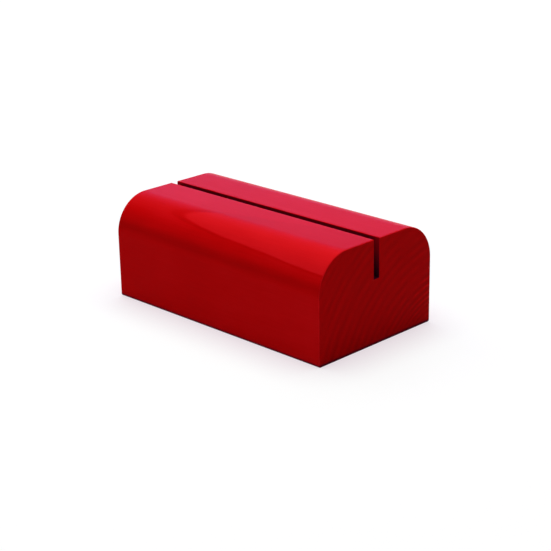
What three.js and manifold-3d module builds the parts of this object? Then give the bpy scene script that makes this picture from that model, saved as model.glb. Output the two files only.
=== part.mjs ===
// A slotted sign stand: one block of solid hardwood with rounded shoulders, stained and lacquered red.
// A saw slot runs the whole length of its top and holds a card, menu or small sign upright.
// Millimetres, +Z up. The origin is the middle of the underside, +X runs along the slot, +Y to the back.
import * as THREE from 'three';
import { mergeVertices } from 'three/addons/utils/BufferGeometryUtils.js';
import Module from 'manifold-3d';

// The block
const LENGTH = 107;
const WIDTH = 60;
const HEIGHT = 40;
const SHOULDER_RADIUS = 14.5;

// The slot
const SLOT_WIDTH = 3;
const SLOT_DEPTH = 15;

// Sanded edges: round both ends, along the two long edges of the foot, and round the slot's mouth
const END_EASING = 0.5;
const FOOT_EASING_EXTRA = 0.5;
const FOOT_EASING = END_EASING + FOOT_EASING_EXTRA;
const SLOT_EASING = 0.3;

// How far the slot's cutter runs past the faces that it leaves by
const CUTTER_RISE = 2;
const CUTTER_RUN_OUT = 0.02;

// Facets in each quarter turn
const SHOULDER_FACETS = 24;
const EASING_FACETS = 5;

const QUARTER_TURN = Math.PI / 2;
const HALF_TURN = Math.PI;
const RED_LACQUER = { color: 0xc8101a, roughness: 0.32, metalness: 0 };

const wasm = await Module();
wasm.setup();

// A closed three.js geometry as a manifold-3d solid.
function solidOf(geometry) {
  const bare = geometry.clone();
  bare.deleteAttribute('normal');
  bare.deleteAttribute('uv');
  const merged = mergeVertices(bare);
  const vertProperties = new Float32Array(merged.attributes.position.array);
  const triVerts = new Uint32Array(merged.index.array);
  return new wasm.Manifold(new wasm.Mesh({ numProp: 3, vertProperties, triVerts }));
}

// A manifold-3d solid as a three.js geometry with flat facets.
function geometryOf(solid) {
  const { vertProperties, triVerts } = solid.getMesh();
  const indexed = new THREE.BufferGeometry();
  indexed.setAttribute('position', new THREE.BufferAttribute(vertProperties, 3));
  indexed.setIndex(new THREE.BufferAttribute(triVerts, 1));
  const faceted = indexed.toNonIndexed();
  faceted.computeVertexNormals();
  return faceted;
}

// The points of a quarter circle from the angle start, anticlockwise for a turn of +1.
function quarterCircle(centreX, centreY, radius, start, turn, facets) {
  return Array.from({ length: facets + 1 }, (_, step) => {
    const angle = start + (turn * QUARTER_TURN * step) / facets;
    return new THREE.Vector2(centreX + radius * Math.cos(angle), centreY + radius * Math.sin(angle));
  });
}

// The block's end view: flat foot, upright sides, quarter-round shoulders and a flat top.
function blockOutline() {
  const foot = WIDTH / 2 - FOOT_EASING;
  const shoulder = WIDTH / 2 - SHOULDER_RADIUS;
  const springing = HEIGHT - SHOULDER_RADIUS;
  return new THREE.Shape([
    ...quarterCircle(foot, FOOT_EASING, FOOT_EASING, -QUARTER_TURN, 1, EASING_FACETS),
    ...quarterCircle(shoulder, springing, SHOULDER_RADIUS, 0, 1, SHOULDER_FACETS),
    ...quarterCircle(-shoulder, springing, SHOULDER_RADIUS, QUARTER_TURN, 1, SHOULDER_FACETS),
    ...quarterCircle(-foot, FOOT_EASING, FOOT_EASING, HALF_TURN, 1, EASING_FACETS),
  ]);
}

// The slot's end view: a square-bottomed saw cut whose two top edges are eased.
function slotOutline() {
  const half = SLOT_WIDTH / 2;
  const mouth = half + SLOT_EASING;
  const floor = HEIGHT - SLOT_DEPTH;
  const lip = HEIGHT - SLOT_EASING;
  const clear = HEIGHT + CUTTER_RISE;
  return new THREE.Shape([
    new THREE.Vector2(-half, floor),
    new THREE.Vector2(half, floor),
    ...quarterCircle(mouth, lip, SLOT_EASING, HALF_TURN, -1, EASING_FACETS),
    new THREE.Vector2(mouth, clear),
    new THREE.Vector2(-mouth, clear),
    ...quarterCircle(-mouth, lip, SLOT_EASING, QUARTER_TURN, -1, EASING_FACETS),
  ]);
}

// The blank before the slot is cut: the outline run out to length, its ends drawn in by their easing.
function blankSolid() {
  const straight = LENGTH - 2 * END_EASING;
  const geometry = new THREE.ExtrudeGeometry(blockOutline(), {
    depth: straight,
    bevelThickness: END_EASING,
    bevelSize: END_EASING,
    bevelOffset: -END_EASING,
    bevelSegments: EASING_FACETS,
  });
  return solidOf(geometry.translate(0, 0, -straight / 2));
}

// What the saw and the sandpaper take out for the slot: it widens by the easing where it leaves each end.
function slotSolid() {
  const straight = LENGTH + 2 * (CUTTER_RUN_OUT - SLOT_EASING);
  const geometry = new THREE.ExtrudeGeometry(slotOutline(), {
    depth: straight,
    bevelThickness: SLOT_EASING,
    bevelSize: -SLOT_EASING,
    bevelOffset: SLOT_EASING,
    bevelSegments: EASING_FACETS,
  });
  return solidOf(geometry.translate(0, 0, -straight / 2));
}

// The outlines are drawn across the block and upwards, and run out along its length.
function alongLength() {
  const across = new THREE.Vector3(0, 1, 0);
  const up = new THREE.Vector3(0, 0, 1);
  const along = new THREE.Vector3(1, 0, 0);
  return new THREE.Matrix4().makeBasis(across, up, along);
}

// The wooden block with its slot.
function slottedBlock() {
  const block = new THREE.Mesh(
    geometryOf(blankSolid().subtract(slotSolid())),
    new THREE.MeshStandardMaterial(RED_LACQUER),
  );
  block.name = 'slotted_block';
  block.quaternion.setFromRotationMatrix(alongLength());
  return block;
}

const signStand = new THREE.Group();
signStand.add(slottedBlock());

export default signStand;
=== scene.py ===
"""Looks of a slotted sign stand: one red lacquered block of solid wood on a pale studio floor."""

import logging
import math
from collections.abc import Callable
from dataclasses import dataclass, field
from enum import Enum

import bmesh
import bpy
from mathutils import Matrix, Vector


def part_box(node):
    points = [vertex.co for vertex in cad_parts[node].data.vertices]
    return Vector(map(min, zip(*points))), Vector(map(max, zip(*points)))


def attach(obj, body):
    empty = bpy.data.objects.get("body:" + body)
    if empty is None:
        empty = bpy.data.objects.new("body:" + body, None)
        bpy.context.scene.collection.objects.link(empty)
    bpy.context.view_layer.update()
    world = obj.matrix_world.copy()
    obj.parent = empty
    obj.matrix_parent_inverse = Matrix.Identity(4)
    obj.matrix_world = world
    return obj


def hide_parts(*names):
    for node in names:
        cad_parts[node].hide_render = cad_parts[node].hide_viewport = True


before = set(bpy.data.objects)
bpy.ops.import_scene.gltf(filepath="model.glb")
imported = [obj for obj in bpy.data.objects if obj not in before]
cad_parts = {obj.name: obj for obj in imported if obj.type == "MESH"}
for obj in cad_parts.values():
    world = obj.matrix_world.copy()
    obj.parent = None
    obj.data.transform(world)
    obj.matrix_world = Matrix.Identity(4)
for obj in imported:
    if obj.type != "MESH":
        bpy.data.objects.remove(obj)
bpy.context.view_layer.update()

Colour = tuple[float, float, float]
Triple = tuple[float, float, float]
Span = tuple[float, float]
Stops = tuple[tuple[float, float], ...]
Socket = bpy.types.NodeSocket

LOG = logging.getLogger("sign_stand")
PLACE_TOLERANCE = 1e-5
WHITE: Colour = (1.0, 1.0, 1.0)
FULL: Span = (0.0, 1.0)
NOISE_MIDDLE = 0.5


class Axis(Enum):
    """The axes of the part's frame: along the slot, across the block and up."""

    X = "X"
    Y = "Y"
    Z = "Z"


class EasedEdge(Enum):
    """The three sets of edges that sandpaper has rounded."""

    END = "end"
    FOOT = "foot"
    SLOT = "slot"


def close(a: float, b: float) -> bool:
    """True if two lengths are the same to within the modelling tolerance."""
    return abs(a - b) < PLACE_TOLERANCE


def deselect_all() -> None:
    """Leaves object mode with nothing selected."""
    if bpy.context.object and bpy.context.object.mode != "OBJECT":
        bpy.ops.object.mode_set(mode="OBJECT")
    bpy.ops.object.select_all(action="DESELECT")


def select_edges(piece: bpy.types.Object, wanted: Callable[[bmesh.types.BMEdge], bool]) -> None:
    """Selects some edges of the piece in edit mode, and nothing else.

    Args:
        piece: The object that is open in edit mode.
        wanted: Says whether an edge is to be selected.
    """
    bpy.ops.mesh.select_mode(type="EDGE")
    bpy.ops.mesh.select_all(action="DESELECT")
    mesh = bmesh.from_edit_mesh(piece.data)
    for edge in mesh.edges:
        if wanted(edge):
            edge.select_set(True)
    bmesh.update_edit_mesh(piece.data)


def select_faces(piece: bpy.types.Object, wanted: Callable[[bmesh.types.BMFace], bool]) -> None:
    """Selects some faces of the piece in edit mode, and nothing else.

    Args:
        piece: The object that is open in edit mode.
        wanted: Says whether a face is to be selected.
    """
    bpy.ops.mesh.select_mode(type="FACE")
    bpy.ops.mesh.select_all(action="DESELECT")
    mesh = bmesh.from_edit_mesh(piece.data)
    for face in mesh.faces:
        if wanted(face):
            face.select_set(True)
    bmesh.update_edit_mesh(piece.data)


class NodeGraph:
    """A node tree with short calls to add nodes and join them."""

    def __init__(self, tree: bpy.types.NodeTree) -> None:
        """Takes the node tree of a material or of the world, and empties it."""
        self.tree = tree
        tree.nodes.clear()

    def add(self, kind: str, inputs: dict | None = None, **settings: object) -> bpy.types.Node:
        """Adds a node.

        Args:
            kind: The node's type name.
            inputs: Sockets by name or number, each with a value or with the output that feeds it.
            settings: Properties of the node itself.

        Returns:
            The new node.
        """
        node = self.tree.nodes.new(kind)
        for name, value in settings.items():
            setattr(node, name, value)
        for socket, value in (inputs or {}).items():
            if isinstance(value, Socket):
                self.tree.links.new(value, node.inputs[socket])
            else:
                node.inputs[socket].default_value = value
        return node

    def math(self, operation: str, *values: object) -> Socket:
        """Adds a Math node with its inputs in order, as numbers or outputs, and returns its output."""
        return self.add("ShaderNodeMath", dict(enumerate(values)), operation=operation).outputs[0]

    def axis(self, vector: Socket, axis: Axis) -> Socket:
        """Takes one coordinate out of a vector."""
        return self.add("ShaderNodeSeparateXYZ", {0: vector}).outputs[axis.value]

    def ramp(self, factor: Socket, stops: list[tuple[float, Colour]]) -> Socket:
        """Adds a colour ramp.

        Args:
            factor: The output that picks the place on the ramp.
            stops: Each stop's place and its linear colour.

        Returns:
            The ramp's colour output.
        """
        node = self.add("ShaderNodeValToRGB", {0: factor})
        elements = node.color_ramp.elements
        while len(elements) < len(stops):
            elements.new(1.0)
        for element, (place, colour) in zip(elements, stops):
            element.position = place
            element.color = (*colour, 1.0)
        return node.outputs[0]

    def curve(self, factor: Socket, stops: Stops) -> Socket:
        """Adds a grey ramp, which turns one number into another by its stops' places and values."""
        return self.ramp(factor, [(place, (value,) * 3) for place, value in stops])

    def span(self, value: Socket, source: Span, target: Span = FULL) -> Socket:
        """Eases a value from one range into another, and holds it at their ends.

        Args:
            value: The output to map.
            source: The first and last value that it is mapped from.
            target: The values that they are mapped to.

        Returns:
            The mapped value.
        """
        sockets = {
            "Value": value,
            "From Min": source[0],
            "From Max": source[1],
            "To Min": target[0],
            "To Max": target[1],
        }
        return self.add("ShaderNodeMapRange", sockets, interpolation_type="SMOOTHSTEP").outputs[0]

    def mix(self, factor: Socket, first: Socket, second: Colour) -> Socket:
        """Mixes a colour with a plain one.

        Args:
            factor: The plain colour's share.
            first: The output with the first colour.
            second: The plain colour.

        Returns:
            The mixed colour.
        """
        factor_socket, first_socket, second_socket, colour_output = 0, 6, 7, 2
        sockets = {factor_socket: factor, first_socket: first, second_socket: (*second, 1.0)}
        return self.add("ShaderNodeMix", sockets, data_type="RGBA").outputs[colour_output]


@dataclass(frozen=True)
class Noise:
    """Noise drawn out along the wood, by how many grains lie in a metre along each axis."""

    per_metre: Triple
    detail: float
    roughness: float = 0.55

    def level(self, graph: NodeGraph, place: Socket) -> Socket:
        """Adds the noise to a material.

        Args:
            graph: The material's nodes.
            place: The object coordinates.

        Returns:
            The noise, from 0 to 1.
        """
        drawn = graph.add("ShaderNodeMapping", {"Vector": place, "Scale": self.per_metre})
        sockets = {
            "Vector": drawn.outputs[0],
            "Scale": 1.0,
            "Detail": self.detail,
            "Roughness": self.roughness,
        }
        return graph.add("ShaderNodeTexNoise", sockets).outputs[0]

    def swing(self, graph: NodeGraph, place: Socket) -> Socket:
        """Adds the noise as a swing to both sides of 0."""
        return graph.math("SUBTRACT", self.level(graph, place), NOISE_MIDDLE)


@dataclass(frozen=True)
class GrainAxis:
    """A line along the grain of the wood: a place on it, and its turn from the block's length."""

    place: Triple
    turn: Triple

    def radius(self, graph: NodeGraph, place: Socket) -> Socket:
        """Measures how far the wood is from the axis.

        Args:
            graph: The material's nodes.
            place: The object coordinates.

        Returns:
            The distance, in metres.
        """
        along = graph.add(
            "ShaderNodeMapping",
            {"Vector": place, "Location": self.place, "Rotation": self.turn},
            vector_type="TEXTURE",
        )
        across = graph.add(
            "ShaderNodeVectorMath", {0: along.outputs[0], 1: (0.0, 1.0, 1.0)}, operation="MULTIPLY"
        )
        length = graph.add("ShaderNodeVectorMath", {0: across.outputs[0]}, operation="LENGTH")
        return length.outputs["Value"]


@dataclass(frozen=True)
class GrowthRings:
    """Growth rings round the pith, clearest by the back edge, over broad uneven bands.

    The years say how many rings lie within each radius, so the rings are as wide as the years made them.
    """

    pith: GrainAxis = GrainAxis((0.0535, 0.037, -0.024), (0.0, -0.05, -0.035))
    drift: Noise = Noise((6.0, 90.0, 90.0), detail=2.0)
    wander: float = 0.0018
    years: Stops = (
        (0.0127, 0.0),
        (0.0327, 10.0),
        (0.0369, 12.0),
        (0.0425, 14.0),
        (0.0495, 16.0),
        (0.0601, 19.0),
        (0.0717, 22.0),
        (0.0945, 29.0),
    )
    profile: Stops = ((0.0, 0.57), (0.27, 0.0), (0.8, 1.0), (1.0, 0.57))
    profile_middle: float = 0.5
    profile_peak: float = 0.8
    line_level: float = 1.5
    clearest: GrainAxis = GrainAxis((0.0535, 0.030, 0.012), (0.0, 0.0, 0.0))
    clear_reach: float = 0.060
    clearness: Stops = ((0.12, 1.0), (0.24, 0.50), (0.40, 0.30), (1.0, 0.29))
    patches: Noise = Noise((10.0, 150.0, 150.0), detail=1.0)
    patch_range: Span = (0.35, 0.62)
    patch_share: Span = (0.1, 1.0)
    band_width: float = 0.0046
    band_detail: float = 2.0
    band_level: float = 0.25

    def level(self, graph: NodeGraph, place: Socket) -> Socket:
        """Draws the rings.

        Args:
            graph: The material's nodes.
            place: The object coordinates.

        Returns:
            How light the wood is for its place in the rings, about 0.
        """
        drift = self.drift.swing(graph, place)
        radius = graph.math("MULTIPLY_ADD", drift, self.wander, self.pith.radius(graph, place))
        reach, last = self.years[-1]
        stops = tuple((size / reach, year / last) for size, year in self.years)
        share = graph.curve(graph.math("DIVIDE", radius, reach), stops)
        turn = graph.math("FRACT", graph.math("MULTIPLY_ADD", share, last, self.profile_peak))
        wave = graph.math("SUBTRACT", graph.curve(turn, self.profile), self.profile_middle)
        line = graph.math("MULTIPLY", wave, self.line_level)
        off_clearest = graph.math("DIVIDE", self.clearest.radius(graph, place), self.clear_reach)
        clear = graph.curve(off_clearest, self.clearness)
        patch = graph.span(self.patches.level(graph, place), self.patch_range, self.patch_share)
        band = graph.add(
            "ShaderNodeTexNoise",
            {"W": graph.math("DIVIDE", radius, self.band_width), "Scale": 1.0, "Detail": self.band_detail},
            noise_dimensions="1D",
        )
        uneven = graph.math("SUBTRACT", band.outputs[0], NOISE_MIDDLE)
        broad = graph.math("MULTIPLY", uneven, self.band_level)
        return graph.math("MULTIPLY_ADD", graph.math("MULTIPLY", line, clear), patch, broad)


@dataclass(frozen=True)
class FlameAndRoundLight:
    """A tongue of wood that the front shoulder lays open, pale on the round, with a dark line round it, and
    painted light on the round above its lower edge, stronger towards the -X end.
    """

    up: Triple = (0.0484, 0.667, 0.741)
    lower_edge: float = 0.0091
    upper_edge: float = 0.0212
    spread: float = 0.2345
    roundness: float = 0.0206
    softness: float = 0.0004
    drift: Noise = Noise((45.0, 160.0, 160.0), detail=3.0)
    wander: float = 0.0015
    line_drop: float = 0.00045
    line_reach: float = 0.0006
    line_share: Span = (0.62, 0.34)
    line_fade: Span = (-0.012, 0.020)
    breaks: Noise = Noise((90.0, 220.0, 220.0), detail=2.0)
    break_range: Span = (0.36, 0.60)
    break_share: Span = (0.4, 1.0)
    core: Span = (-0.022, 0.005)
    core_share: Span = (1.15, 0.97)
    shade: Span = (-0.005, 0.001)
    round_light_share: float = 0.42
    round_light_end: Span = (0.005, -0.020)
    shoulder: Span = (-0.0152, -0.0189)
    top_share: Span = (0.20, -0.12)
    top_line: Span = (0.005, 0.030)
    top_line_share: float = 0.5

    def level(self, graph: NodeGraph, place: Socket) -> Socket:
        """Draws the tongue and the painted light on the upper round.

        Args:
            graph: The material's nodes.
            place: The object coordinates.

        Returns:
            How much lighter the tongue and the painted light make the wood, below 0 along the line.
        """
        along = graph.axis(place, Axis.X)
        over = self._over(graph, place)
        depth = self._depth(graph, along, over)
        line = self._line(graph, place, depth)
        inside = graph.span(depth, (-self.softness, self.softness))
        pale = graph.math("MULTIPLY", inside, graph.span(along, self.core, self.core_share))
        # Painted light: the round above the tongue's lower edge is made lighter, more so towards the -X
        # end.
        upper_round = graph.span(over, self.shade, (0.0, self.round_light_share))
        shade = graph.math("MULTIPLY", upper_round, graph.span(along, self.round_light_end))
        on_shoulder = graph.math("SUBTRACT", graph.math("MAXIMUM", pale, shade), line)
        line_left = graph.span(along, self.top_line, (self.top_line_share, 0.0))
        line_on_top = graph.math("MULTIPLY", line, line_left)
        on_top = graph.math("SUBTRACT", graph.span(inside, FULL, self.top_share), line_on_top)
        front = graph.span(graph.axis(place, Axis.Y), self.shoulder)
        return graph.math("MULTIPLY_ADD", front, graph.math("SUBTRACT", on_shoulder, on_top), on_top)

    def _over(self, graph: NodeGraph, place: Socket) -> Socket:
        """Measures how far the wood lies over the tongue's lower edge, which wanders.

        Args:
            graph: The material's nodes.
            place: The object coordinates.

        Returns:
            The distance, in metres.
        """
        rise = graph.add("ShaderNodeVectorMath", {0: place, 1: self.up}, operation="DOT_PRODUCT")
        straight = graph.math("SUBTRACT", rise.outputs["Value"], self.lower_edge)
        return graph.math("MULTIPLY_ADD", self.drift.swing(graph, place), self.wander, straight)

    def _depth(self, graph: NodeGraph, along: Socket, over: Socket) -> Socket:
        """Measures how deep the wood lies inside the tongue, whose edges meet in a round tip.

        Args:
            graph: The material's nodes.
            along: The place along the block.
            over: How far the wood lies over the lower edge.

        Returns:
            The depth, in metres, below 0 outside the tongue.
        """
        height = self.upper_edge - self.lower_edge
        under = graph.math("MULTIPLY_ADD", along, self.spread, graph.math("SUBTRACT", height, over))
        return graph.math("SMOOTH_MIN", over, under, self.roundness)

    def _line(self, graph: NodeGraph, place: Socket, depth: Socket) -> Socket:
        """Draws the broken dark line just outside the tongue's edge.

        Args:
            graph: The material's nodes.
            place: The object coordinates.
            depth: How deep the wood lies inside the tongue.

        Returns:
            How much darker the line makes the wood.
        """
        off_line = graph.math("ABSOLUTE", graph.math("ADD", depth, self.line_drop))
        line = graph.span(off_line, (0.0, self.line_reach), (1.0, 0.0))
        broken = graph.span(self.breaks.level(graph, place), self.break_range, self.break_share)
        fade = graph.span(graph.axis(place, Axis.X), self.line_fade, self.line_share)
        return graph.math("MULTIPLY", line, graph.math("MULTIPLY", broken, fade))


@dataclass(frozen=True)
class ShoulderFootShade:
    """Painted shade: a darker line along the foot of each round shoulder, where the round turns into the
    flat side.
    """

    height: float = 0.0293
    slope: float = 0.012
    reach: float = 0.0034
    inner: float = 0.024

    def level(self, graph: NodeGraph, place: Socket) -> Socket:
        """Draws the line of painted shade.

        Args:
            graph: The material's nodes.
            place: The object coordinates.

        Returns:
            1 in the middle of the line and 0 beside it.
        """
        along, rise = graph.axis(place, Axis.X), graph.axis(place, Axis.Z)
        sloped = graph.math("MULTIPLY_ADD", along, self.slope, rise)
        off_line = graph.math("ABSOLUTE", graph.math("SUBTRACT", sloped, self.height))
        line = graph.span(off_line, (0.0, self.reach), (1.0, 0.0))
        aside = graph.math("ABSOLUTE", graph.axis(place, Axis.Y))
        return graph.math("MULTIPLY", line, graph.math("GREATER_THAN", aside, self.inner))


@dataclass(frozen=True)
class PaintedShade:
    """Painted shade: a near-black mixed into the stain down the slot's walls and along the eased foot."""

    colour: Colour = (0.045, 0.0030, 0.0200)
    slot_half_width: float = 0.00151
    slot_mouth: float = 0.0398
    slot_floor: float = 0.025
    slot_share: Span = (0.70, 0.98)
    run_out: Span = (0.0490, 0.0525)
    run_out_share: Span = (0.42, 0.97)
    foot: Span = (0.0017, 0.0004)
    foot_share: float = 0.85
    foot_facing: Span = (-0.97, -0.9)

    def slot_shade(self, graph: NodeGraph, place: Socket) -> Socket:
        """Finds the slot, whose walls get more painted shade the deeper they go.

        Args:
            graph: The material's nodes.
            place: The object coordinates.

        Returns:
            The painted shade's share, 0 outside the slot.
        """
        rise = graph.axis(place, Axis.Z)
        depth = (self.slot_mouth, self.slot_floor)
        along = graph.span(rise, depth, self.slot_share)
        at_end = graph.span(rise, depth, self.run_out_share)
        near_end = graph.span(graph.math("ABSOLUTE", graph.axis(place, Axis.X)), self.run_out)
        share = graph.math("MULTIPLY_ADD", near_end, graph.math("SUBTRACT", at_end, along), along)
        aside = graph.math("ABSOLUTE", graph.axis(place, Axis.Y))
        for inside in (
            graph.math("LESS_THAN", aside, self.slot_half_width),
            graph.math("GREATER_THAN", rise, self.slot_floor - PLACE_TOLERANCE),
            graph.math("LESS_THAN", rise, self.slot_mouth),
        ):
            share = graph.math("MULTIPLY", share, inside)
        return share

    def foot_edge_shade(self, graph: NodeGraph, place: bpy.types.Node) -> Socket:
        """Finds the eased edges round the foot, without the flat underside, for the painted shade under
        them.

        Args:
            graph: The material's nodes.
            place: The Texture Coordinate node.

        Returns:
            The painted shade's share, 0 away from the foot.
        """
        low = graph.span(graph.axis(place.outputs["Object"], Axis.Z), self.foot, (0.0, self.foot_share))
        facing = graph.axis(place.outputs["Normal"], Axis.Z)
        return graph.math("MULTIPLY", low, graph.span(facing, self.foot_facing))


@dataclass(frozen=True)
class LacqueredWood:
    """Solid wood stained red under a satin clear lacquer, with the pith below the block's back edge."""

    name: str = "red_lacquered_wood"
    dark: Colour = (0.54, 0.0004, 0.0010)
    middle: Colour = (0.70, 0.0008, 0.0020)
    light: Colour = (0.86, 0.0080, 0.0130)
    middle_tone: float = 0.5
    rings: GrowthRings = GrowthRings()
    ring_on_ends: float = 0.80
    ring_on_sides: float = 0.10
    # The flame figure, with painted light on the upper round.
    flame_and_round_light: FlameAndRoundLight = FlameAndRoundLight()
    flame_and_round_light_level: float = 0.40
    # Painted shade along the foot of the round shoulders.
    shoulder_foot_shade: ShoulderFootShade = ShoulderFootShade()
    shoulder_foot_shade_level: float = 0.38
    # Painted shade in the slot and along the eased foot.
    painted_shade: PaintedShade = PaintedShade()
    fibres: Noise = Noise((60.0, 1400.0, 1400.0), detail=4.0)
    fibre_level: float = 0.26
    clouds: Noise = Noise((28.0, 28.0, 28.0), detail=2.0)
    cloud_level: float = 0.36
    pores: Noise = Noise((350.0, 4200.0, 4200.0), detail=1.0)
    pore_range: Span = (0.66, 0.76)
    pore_level: float = 0.12
    speckles: Noise = Noise((300.0, 900.0, 900.0), detail=2.0)
    speckle_level: float = 0.22
    end_facing: Span = (0.5, 0.95)
    end_grain_level: float = 0.33
    drift_level: float = 1.2
    rubs: Noise = Noise((260.0, 260.0, 260.0), detail=2.0)
    rub_peak: float = 4.0
    wear_level: float = 1.0
    roughness: Span = (0.20, 0.28)
    slot_roughness: float = 0.35
    ior: float = 1.051
    relief: float = 0.00002
    relief_strength: float = 0.5
    fibre_relief: float = 0.5

    def material(self) -> bpy.types.Material:
        """Builds the node material.

        Returns:
            The material, ready to assign.
        """
        made = bpy.data.materials.new(self.name)
        made.use_nodes = True
        graph = NodeGraph(made.node_tree)
        place = graph.add("ShaderNodeTexCoord")
        spot = place.outputs["Object"]
        fibres = self.fibres.level(graph, spot)
        pores = graph.span(self.pores.level(graph, spot), self.pore_range)
        tone = self._tone(graph, place, fibres, pores)
        stain = graph.ramp(tone, [(0.0, self.dark), (self.middle_tone, self.middle), (1.0, self.light)])
        # Painted shade: the stain is mixed towards a near-black down the slot and along the eased foot; the
        # slot's share also raises the roughness there.
        slot_shade = self.painted_shade.slot_shade(graph, spot)
        shade_amount = graph.math("MAXIMUM", slot_shade, self.painted_shade.foot_edge_shade(graph, place))
        rough = graph.span(fibres, FULL, self.roughness)
        height = graph.math("SUBTRACT", graph.math("MULTIPLY", fibres, self.fibre_relief), pores)
        bump = graph.add(
            "ShaderNodeBump",
            {"Strength": self.relief_strength, "Distance": self.relief, "Height": height},
        )
        shader = graph.add(
            "ShaderNodeBsdfPrincipled",
            {
                "Base Color": graph.mix(shade_amount, stain, self.painted_shade.colour),
                "Roughness": graph.math("MULTIPLY_ADD", slot_shade, self.slot_roughness, rough),
                "Normal": bump.outputs[0],
                "IOR": self.ior,
            },
        )
        graph.add("ShaderNodeOutputMaterial", {"Surface": shader.outputs[0]})
        return made

    def _tone(self, graph: NodeGraph, place: bpy.types.Node, fibres: Socket, pores: Socket) -> Socket:
        """Adds the figure of the wood with its painted light and painted shade, the streaks, the pores, the
        wear and a gradient along the length to the stain's own unevenness.

        Args:
            graph: The material's nodes.
            place: The Texture Coordinate node.
            fibres: The level of the streaks.
            pores: Where the pores are.

        Returns:
            The tone, from 0 for the darkest stain to 1 for the lightest.
        """
        spot = place.outputs["Object"]
        facing = graph.math("ABSOLUTE", graph.axis(place.outputs["Normal"], Axis.X))
        end_grain = graph.span(facing, self.end_facing)
        long_grain = graph.math("SUBTRACT", 1.0, end_grain)
        # The flame with its painted light, less the painted shade along the shoulders' foot.
        figure_with_light_and_shade = graph.math(
            "MULTIPLY_ADD",
            self.flame_and_round_light.level(graph, spot),
            self.flame_and_round_light_level,
            graph.math("MULTIPLY", self.shoulder_foot_shade.level(graph, spot), -self.shoulder_foot_shade_level),
        )
        contrast = graph.span(end_grain, FULL, (self.ring_on_sides, self.ring_on_ends))
        tone = self.middle_tone - NOISE_MIDDLE * (self.fibre_level + self.cloud_level)
        for level, strength in (
            (self.rings.level(graph, spot), contrast),
            (figure_with_light_and_shade, long_grain),
            (graph.math("MULTIPLY", self.speckles.swing(graph, spot), end_grain), self.speckle_level),
            (fibres, self.fibre_level),
            (self.clouds.level(graph, spot), self.cloud_level),
            (pores, -self.pore_level),
            (end_grain, -self.end_grain_level),
            # A straight gradient along the length, lighter towards the +X end.
            (graph.axis(spot, Axis.X), self.drift_level),
            (self._wear(graph, place), self.wear_level),
        ):
            tone = graph.math("MULTIPLY_ADD", level, strength, tone)
        return tone

    def _wear(self, graph: NodeGraph, place: bpy.types.Node) -> Socket:
        """Finds the eased edges round the ends, where the stain has been rubbed thin.

        Args:
            graph: The material's nodes.
            place: The Texture Coordinate node.

        Returns:
            Up to 1 in the middle of a rubbed edge, and 0 on a flat face.
        """
        facing = graph.axis(place.outputs["Normal"], Axis.X)
        square = graph.math("MULTIPLY", facing, facing)
        between = graph.math("MULTIPLY", square, graph.math("SUBTRACT", 1.0, square))
        edge = graph.math("MULTIPLY", between, self.rub_peak)
        return graph.math("MULTIPLY", edge, self.rubs.level(graph, place.outputs["Object"]))


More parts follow.
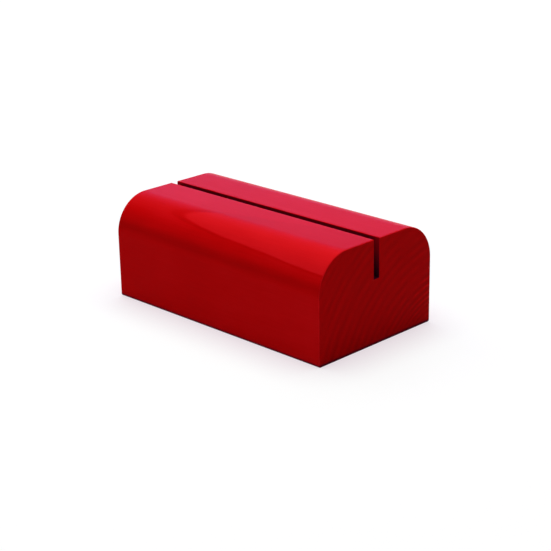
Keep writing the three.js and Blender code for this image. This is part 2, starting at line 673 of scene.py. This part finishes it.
@dataclass
class SlottedBlock:
    """The one wooden piece: a block with quarter-round shoulders and a saw slot along its top."""

    finish: LacqueredWood
    node: str = "slotted_block"
    name: str = "lacquered_block"
    body: str = "root"
    material_slot: str = "red_lacquered_wood"
    shoulder_radius: float = 0.0145
    slot_width: float = 0.003
    slot_depth: float = 0.015
    easing: dict[EasedEdge, float] = field(
        default_factory=lambda: {EasedEdge.END: 0.0005, EasedEdge.FOOT: 0.001, EasedEdge.SLOT: 0.0003}
    )
    shoulder_segments: int = 36
    easing_segments: int = 6
    round_profile: float = 0.5
    sharp_angle: float = math.radians(35.0)
    flat_angle: float = math.radians(0.5)
    flat_facing: float = 0.99
    size: Vector = field(init=False)
    middle: Vector = field(init=False)
    top: float = field(init=False)
    foot: float = field(init=False)
    floor: float = field(init=False)

    def __post_init__(self) -> None:
        """Takes the overall size from the CAD node."""
        low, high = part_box(self.node)
        self.size = high - low
        self.middle = (high + low) / 2.0
        self.top = high.z
        self.foot = low.z
        self.floor = high.z - self.slot_depth

    def build(self) -> bpy.types.Object:
        """Models the block and puts it in the CAD node's place.

        Returns:
            The finished piece.
        """
        piece = self._blank()
        self._round_shoulders(piece)
        self._saw_slot(piece)
        self._ease_edges(piece)
        self._smooth(piece)
        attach(piece, self.body)
        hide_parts(self.node)
        return piece

    def dress(self, piece: bpy.types.Object) -> None:
        """Gives the finished block its stained and lacquered finish."""
        piece.data.materials.clear()
        piece.data.materials.append(self.finish.material())

    def _blank(self) -> bpy.types.Object:
        """Adds the square blank at its full size.

        Returns:
            The new object, with its place in its mesh.
        """
        deselect_all()
        bpy.ops.mesh.primitive_cube_add(size=1.0, location=self.middle, scale=self.size)
        piece = bpy.context.object
        piece.name = self.name
        piece.data.name = self.name
        bpy.ops.object.transform_apply(location=True, rotation=True, scale=True)
        return piece

    def _along(self, edge: bmesh.types.BMEdge) -> bool:
        """True if the edge runs along the block's length."""
        start, end = (vertex.co for vertex in edge.verts)
        return close(start.y, end.y) and close(start.z, end.z)

    def _at_end(self, edge: bmesh.types.BMEdge) -> bool:
        """True if the edge lies in one of the two end faces."""
        start, end = (vertex.co for vertex in edge.verts)
        return close(abs(start.x), self.size.x / 2.0) and close(start.x, end.x)

    def _at_height(self, edge: bmesh.types.BMEdge, height: float) -> bool:
        """True if the edge lies level at a height."""
        return all(close(vertex.co.z, height) for vertex in edge.verts)

    def _in_slot(self, edge: bmesh.types.BMEdge) -> bool:
        """True if the edge lies on the slot's walls or floor."""
        reach, depth = self.slot_width / 2.0 + PLACE_TOLERANCE, self.floor - PLACE_TOLERANCE
        return all(abs(vertex.co.y) < reach and vertex.co.z > depth for vertex in edge.verts)

    def _round_shoulders(self, piece: bpy.types.Object) -> None:
        """Rounds the two long top edges over.

        Args:
            piece: The square blank.
        """
        bpy.ops.object.mode_set(mode="EDIT")
        select_edges(piece, lambda edge: self._at_height(edge, self.top) and self._along(edge))
        bpy.ops.mesh.bevel(
            offset=self.shoulder_radius,
            segments=self.shoulder_segments,
            profile=self.round_profile,
            affect="EDGES",
            clamp_overlap=False,
        )
        bpy.ops.object.mode_set(mode="OBJECT")

    def _saw_slot(self, piece: bpy.types.Object) -> None:
        """Cuts the slot: scores its outline on the top and the ends, opens it and lines it.

        Args:
            piece: The blank with its round shoulders.
        """
        half = self.slot_width / 2.0

        def end_face(face: bmesh.types.BMFace) -> bool:
            """True for the two end faces."""
            return abs(face.normal.x) > self.flat_facing

        def top_face(face: bmesh.types.BMFace) -> bool:
            """True for the flat top."""
            return face.normal.z > self.flat_facing and close(face.calc_center_median().z, self.top)

        def scored_face(face: bmesh.types.BMFace) -> bool:
            """True for the flat top, and for the ends above the slot's floor."""
            return top_face(face) or (end_face(face) and face.calc_center_median().z > self.floor)

        def waste_face(face: bmesh.types.BMFace) -> bool:
            """True for the strips that the saw takes away."""
            return scored_face(face) and abs(face.calc_center_median().y) < half

        bpy.ops.object.mode_set(mode="EDIT")
        select_faces(piece, end_face)
        bpy.ops.mesh.bisect(plane_co=(0.0, 0.0, self.floor), plane_no=(0.0, 0.0, 1.0))
        for side in (-half, half):
            select_faces(piece, scored_face)
            bpy.ops.mesh.bisect(plane_co=(0.0, side, 0.0), plane_no=(0.0, 1.0, 0.0))
        select_faces(piece, waste_face)
        bpy.ops.mesh.delete(type="FACE")
        select_edges(piece, lambda edge: edge.is_boundary and self._at_end(edge))
        bpy.ops.mesh.bridge_edge_loops()
        select_faces(piece, end_face)
        bpy.ops.mesh.dissolve_limited(angle_limit=self.flat_angle)
        bpy.ops.mesh.select_all(action="SELECT")
        bpy.ops.mesh.normals_make_consistent(inside=False)
        bpy.ops.object.mode_set(mode="OBJECT")

    def _eased(self, edge: bmesh.types.BMEdge, kind: EasedEdge) -> bool:
        """Says whether an edge is one that sandpaper has rounded.

        Args:
            edge: An edge of the block, before any easing.
            kind: Which set of edges is asked for.

        Returns:
            True if the edge is in that set.
        """
        if edge.calc_face_angle(0.0) < self.sharp_angle:
            return False
        if kind is EasedEdge.SLOT:
            return self._in_slot(edge) and (self._at_height(edge, self.top) or self._at_end(edge))
        if kind is EasedEdge.END:
            return self._at_end(edge) and not self._in_slot(edge)
        return self._along(edge) and self._at_height(edge, self.foot)

    def _ease_edges(self, piece: bpy.types.Object) -> None:
        """Rounds the sharp edges by their own small radii, in one bevel.

        Args:
            piece: The sawn block.
        """
        widest = max(self.easing.values())
        bpy.ops.object.mode_set(mode="EDIT")
        for kind, radius in self.easing.items():
            select_edges(piece, lambda edge, kind=kind: self._eased(edge, kind))
            bpy.ops.transform.edge_bevelweight(value=radius / widest)
        bpy.ops.object.mode_set(mode="OBJECT")
        bpy.ops.object.modifier_add(type="BEVEL")
        bevel = piece.modifiers[-1]
        bevel.limit_method = "WEIGHT"
        bevel.offset_type = "OFFSET"
        bevel.width = widest
        bevel.segments = self.easing_segments
        bevel.use_clamp_overlap = False
        bpy.ops.object.modifier_apply(modifier=bevel.name)

    def _smooth(self, piece: bpy.types.Object) -> None:
        """Shades the rounds smooth and keeps the flat faces flat.

        Args:
            piece: The block with its eased edges.
        """
        bpy.ops.object.shade_smooth_by_angle(angle=self.sharp_angle)
        bpy.ops.object.modifier_add(type="WEIGHTED_NORMAL")
        weighted = piece.modifiers[-1]
        weighted.keep_sharp = True
        bpy.ops.object.modifier_apply(modifier=weighted.name)


@dataclass(frozen=True)
class SoftBox:
    """A large soft studio lamp aimed at the block, which may be kept out of reflections."""

    name: str
    towards: Triple
    distance: float
    width: float
    height: float
    level: Colour
    mirrored: bool = True

    def build(self, aim: Vector) -> bpy.types.Object:
        """Hangs the lamp.

        Args:
            aim: The point that it faces.

        Returns:
            The lamp.
        """
        direction = Vector(self.towards).normalized()
        deselect_all()
        bpy.ops.object.light_add(type="AREA", location=aim + direction * self.distance)
        lamp = bpy.context.object
        lamp.name = self.name
        lamp.rotation_euler = direction.to_track_quat("Z", "Y").to_euler()
        lamp.visible_camera = False
        lamp.visible_glossy = self.mirrored
        brightest = max(self.level)
        lamp.data.shape = "RECTANGLE"
        lamp.data.size = self.width
        lamp.data.size_y = self.height
        lamp.data.color = [channel / brightest for channel in self.level]
        lamp.data.energy = brightest * math.pi * self.width * self.height
        return lamp


@dataclass(frozen=True)
class Studio:
    """The pale floor with its coved rim, the lamps and the dim room behind them."""

    floor_radius: float = 1.7
    cove_radius: float = 0.45
    cove_steps: int = 10
    around: int = 96
    smooth_angle: float = math.radians(30.0)
    floor_paint: float = 0.18
    floor_bounce: float = 0.62
    floor_glow: float = 0.85
    foot_shade: Colour = (0.855, 0.78, 0.825)
    foot_shade_reach: float = 0.020
    foot_shade_full: float = 0.5
    room: Colour = (0.12, 0.12, 0.12)
    key: SoftBox = SoftBox(
        "key_softbox", (-0.36, 0.16, 0.92), 2.2, 2.4, 2.4, (3.03, 3.03, 3.03), mirrored=False
    )
    side_fill: SoftBox = SoftBox("side_fill", (-0.60, -0.70, 0.40), 1.8, 1.4, 1.0, (0.2, 0.2, 0.2))
    back_fill: SoftBox = SoftBox("back_fill", (-0.66, 0.66, 0.38), 1.2, 1.2, 0.7, (0.25, 0.10, 1.6))

    def build(self, aim: Vector) -> None:
        """Sets up the floor, the lamps and the room.

        Args:
            aim: The point that the lamps face.
        """
        self._floor()
        for lamp in (self.key, self.side_fill, self.back_fill):
            lamp.build(aim)
        self._room()

    def _floor(self) -> bpy.types.Object:
        """Models the floor as a disc whose rim curves up out of sight.

        Returns:
            The floor.
        """
        deselect_all()
        bpy.ops.mesh.primitive_circle_add(vertices=self.around, radius=self.floor_radius, fill_type="NGON")
        floor = bpy.context.object
        floor.name = "studio_floor"
        bpy.ops.object.mode_set(mode="EDIT")
        select_edges(floor, lambda edge: edge.is_boundary)
        radius, height = self.floor_radius, 0.0
        for step in range(1, self.cove_steps + 1):
            angle = math.pi / 2.0 * step / self.cove_steps
            next_radius = self.floor_radius + self.cove_radius * math.sin(angle)
            next_height = self.cove_radius * (1.0 - math.cos(angle))
            bpy.ops.mesh.extrude_region_move(
                TRANSFORM_OT_translate={"value": (0.0, 0.0, next_height - height)}
            )
            bpy.ops.transform.resize(
                value=(next_radius / radius, next_radius / radius, 1.0), center_override=(0.0, 0.0, 0.0)
            )
            radius, height = next_radius, next_height
        bpy.ops.mesh.select_all(action="SELECT")
        bpy.ops.mesh.normals_make_consistent(inside=True)
        bpy.ops.object.mode_set(mode="OBJECT")
        bpy.ops.object.shade_smooth_by_angle(angle=self.smooth_angle)
        floor.data.materials.append(self._floor_paint())
        return floor

    def _floor_paint(self) -> bpy.types.Material:
        """Builds the floor's paint: white to look at, shaded by the block, and grey in what it throws back.

        Returns:
            The material.
        """
        made = bpy.data.materials.new("pale_floor")
        made.use_nodes = True
        graph = NodeGraph(made.node_tree)
        paint = graph.add("ShaderNodeBsdfDiffuse", {"Color": (self.floor_paint,) * 3 + (1.0,)})
        open_sky = graph.add("ShaderNodeAmbientOcclusion", {"Distance": self.foot_shade_reach})
        shade = graph.ramp(open_sky.outputs["AO"], [(self.foot_shade_full, self.foot_shade), (1.0, WHITE)])
        glow = graph.add("ShaderNodeEmission", {"Color": shade, "Strength": self.floor_glow})
        seen = graph.add("ShaderNodeAddShader", {0: paint.outputs[0], 1: glow.outputs[0]})
        unseen = graph.add("ShaderNodeBsdfDiffuse", {"Color": (self.floor_bounce,) * 3 + (1.0,)})
        floor = graph.add(
            "ShaderNodeMixShader", {0: self._looked_at(graph), 1: unseen.outputs[0], 2: seen.outputs[0]}
        )
        graph.add("ShaderNodeOutputMaterial", {"Surface": floor.outputs[0]})
        return made

    def _looked_at(self, graph: NodeGraph) -> Socket:
        """Tells what is looked at, straight or in a reflection, from what only lights other things.

        Args:
            graph: The nodes of the floor or of the room.

        Returns:
            1 for a ray that shows the surface, and 0 for one that only gathers light.
        """
        path = graph.add("ShaderNodeLightPath")
        looked_at = graph.math("MAXIMUM", path.outputs["Is Camera Ray"], path.outputs["Is Glossy Ray"])
        return graph.math("MAXIMUM", looked_at, path.outputs["Is Transmission Ray"])

    def _room(self) -> None:
        """Fills the room with a dim light, with walls that look white."""
        world = bpy.data.worlds.new("studio_room")
        world.use_nodes = True
        graph = NodeGraph(world.node_tree)
        dim = graph.add("ShaderNodeBackground", {"Color": (*self.room, 1.0), "Strength": 1.0})
        white = graph.add("ShaderNodeBackground", {"Color": (*WHITE, 1.0), "Strength": 1.0})
        walls = graph.add(
            "ShaderNodeMixShader", {0: self._looked_at(graph), 1: dim.outputs[0], 2: white.outputs[0]}
        )
        graph.add("ShaderNodeOutputWorld", {"Surface": walls.outputs[0]})
        bpy.context.scene.world = world


@dataclass(frozen=True)
class PhotoCamera:
    """The camera at the photograph's viewing angle, set off from the block's middle by its framing."""

    azimuth: float = math.radians(45.122)
    elevation: float = math.radians(19.976)
    roll: float = math.radians(-1.055)
    distance: float = 0.558239
    slide_right: float = 0.002051
    slide_up: float = -0.006364
    lens_mm: float = 96.245
    sensor_mm: float = 36.0
    nearest: float = 0.01

    def build(self, aim: Vector) -> bpy.types.Object:
        """Sets the camera up and makes it the scene's own.

        Args:
            aim: The middle of the block.

        Returns:
            The camera.
        """
        level = math.cos(self.elevation)
        back = Vector(
            (math.sin(self.azimuth) * level, -math.cos(self.azimuth) * level, math.sin(self.elevation))
        )
        flat_right = Vector((math.cos(self.azimuth), math.sin(self.azimuth), 0.0))
        flat_up = back.cross(flat_right)
        right = flat_right * math.cos(self.roll) + flat_up * math.sin(self.roll)
        up = back.cross(right)
        place = aim + back * self.distance + right * self.slide_right + up * self.slide_up
        turn = Matrix((right, up, back)).transposed().to_euler()
        deselect_all()
        bpy.ops.object.camera_add(location=place, rotation=turn)
        camera = bpy.context.object
        camera.name = "photo_camera"
        camera.data.lens = self.lens_mm
        camera.data.sensor_width = self.sensor_mm
        camera.data.clip_start = self.nearest
        bpy.context.scene.camera = camera
        return camera


def main() -> None:
    """Builds the block, its finish, the camera and the studio, in that order."""
    logging.basicConfig(level=logging.INFO, format="%(name)s: %(message)s")
    bpy.context.scene.view_settings.view_transform = "Standard"
    block = SlottedBlock(finish=LacqueredWood())
    piece = block.build()
    block.dress(piece)
    LOG.info("%s: %d faces", piece.name, len(piece.data.polygons))
    PhotoCamera().build(block.middle)
    Studio().build(block.middle)


if __name__ == "__main__":
    main()
